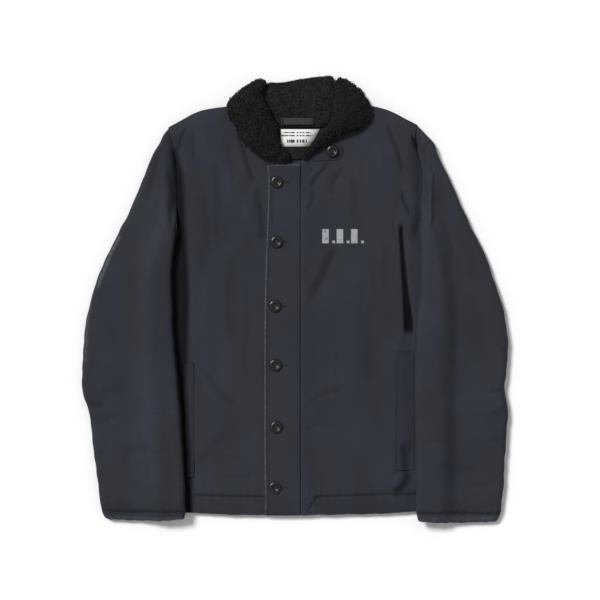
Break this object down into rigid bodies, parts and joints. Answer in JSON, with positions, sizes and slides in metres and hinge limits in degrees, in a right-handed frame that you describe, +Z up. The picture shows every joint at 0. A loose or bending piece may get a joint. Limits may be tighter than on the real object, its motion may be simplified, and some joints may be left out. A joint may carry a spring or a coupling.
{
  "type": "deck jacket",
  "caption": "Deck jacket laid flat, front up: buttoned placket, pile collar turned over at the shoulders, throat tab, slanted side pockets, sleeves beside the body.",
  "frame": {"origin": "centre of the garment's footprint, on the surface that it lies on", "axes": "+Z up out of the surface, +Y from the hem to the collar, +X towards the wearer's left side (the right as seen from above)"},
  "size_m": [0.7296, 0.7618, 0.037],
  "materials": {
    "cloth": "matte",
    "pile": "matte",
    "lining": "matte",
    "tape": "matte",
    "label": "matte",
    "button": "satin"
  },
  "bodies": {
    "root": {"back": "cloth", "front_left": "cloth", "front_right": "cloth", "placket": "cloth", "sleeve_left": "cloth", "sleeve_right": "cloth", "shell_left": "cloth", "shell_back": "cloth", "shell_right": "cloth", "throat_tab": "cloth", "pocket_welt_left": "cloth", "pocket_welt_right": "cloth", "pile_left": "pile", "pile_back": "pile", "pile_right": "pile", "neck_lining": "lining", "hanger_loop": "tape", "label": "label", "button_1": "button", "button_2": "button", "button_3": "button", "button_4": "button", "button_5": "button", "button_6": "button", "button_throat": "button"}
  },
  "joints": []
}
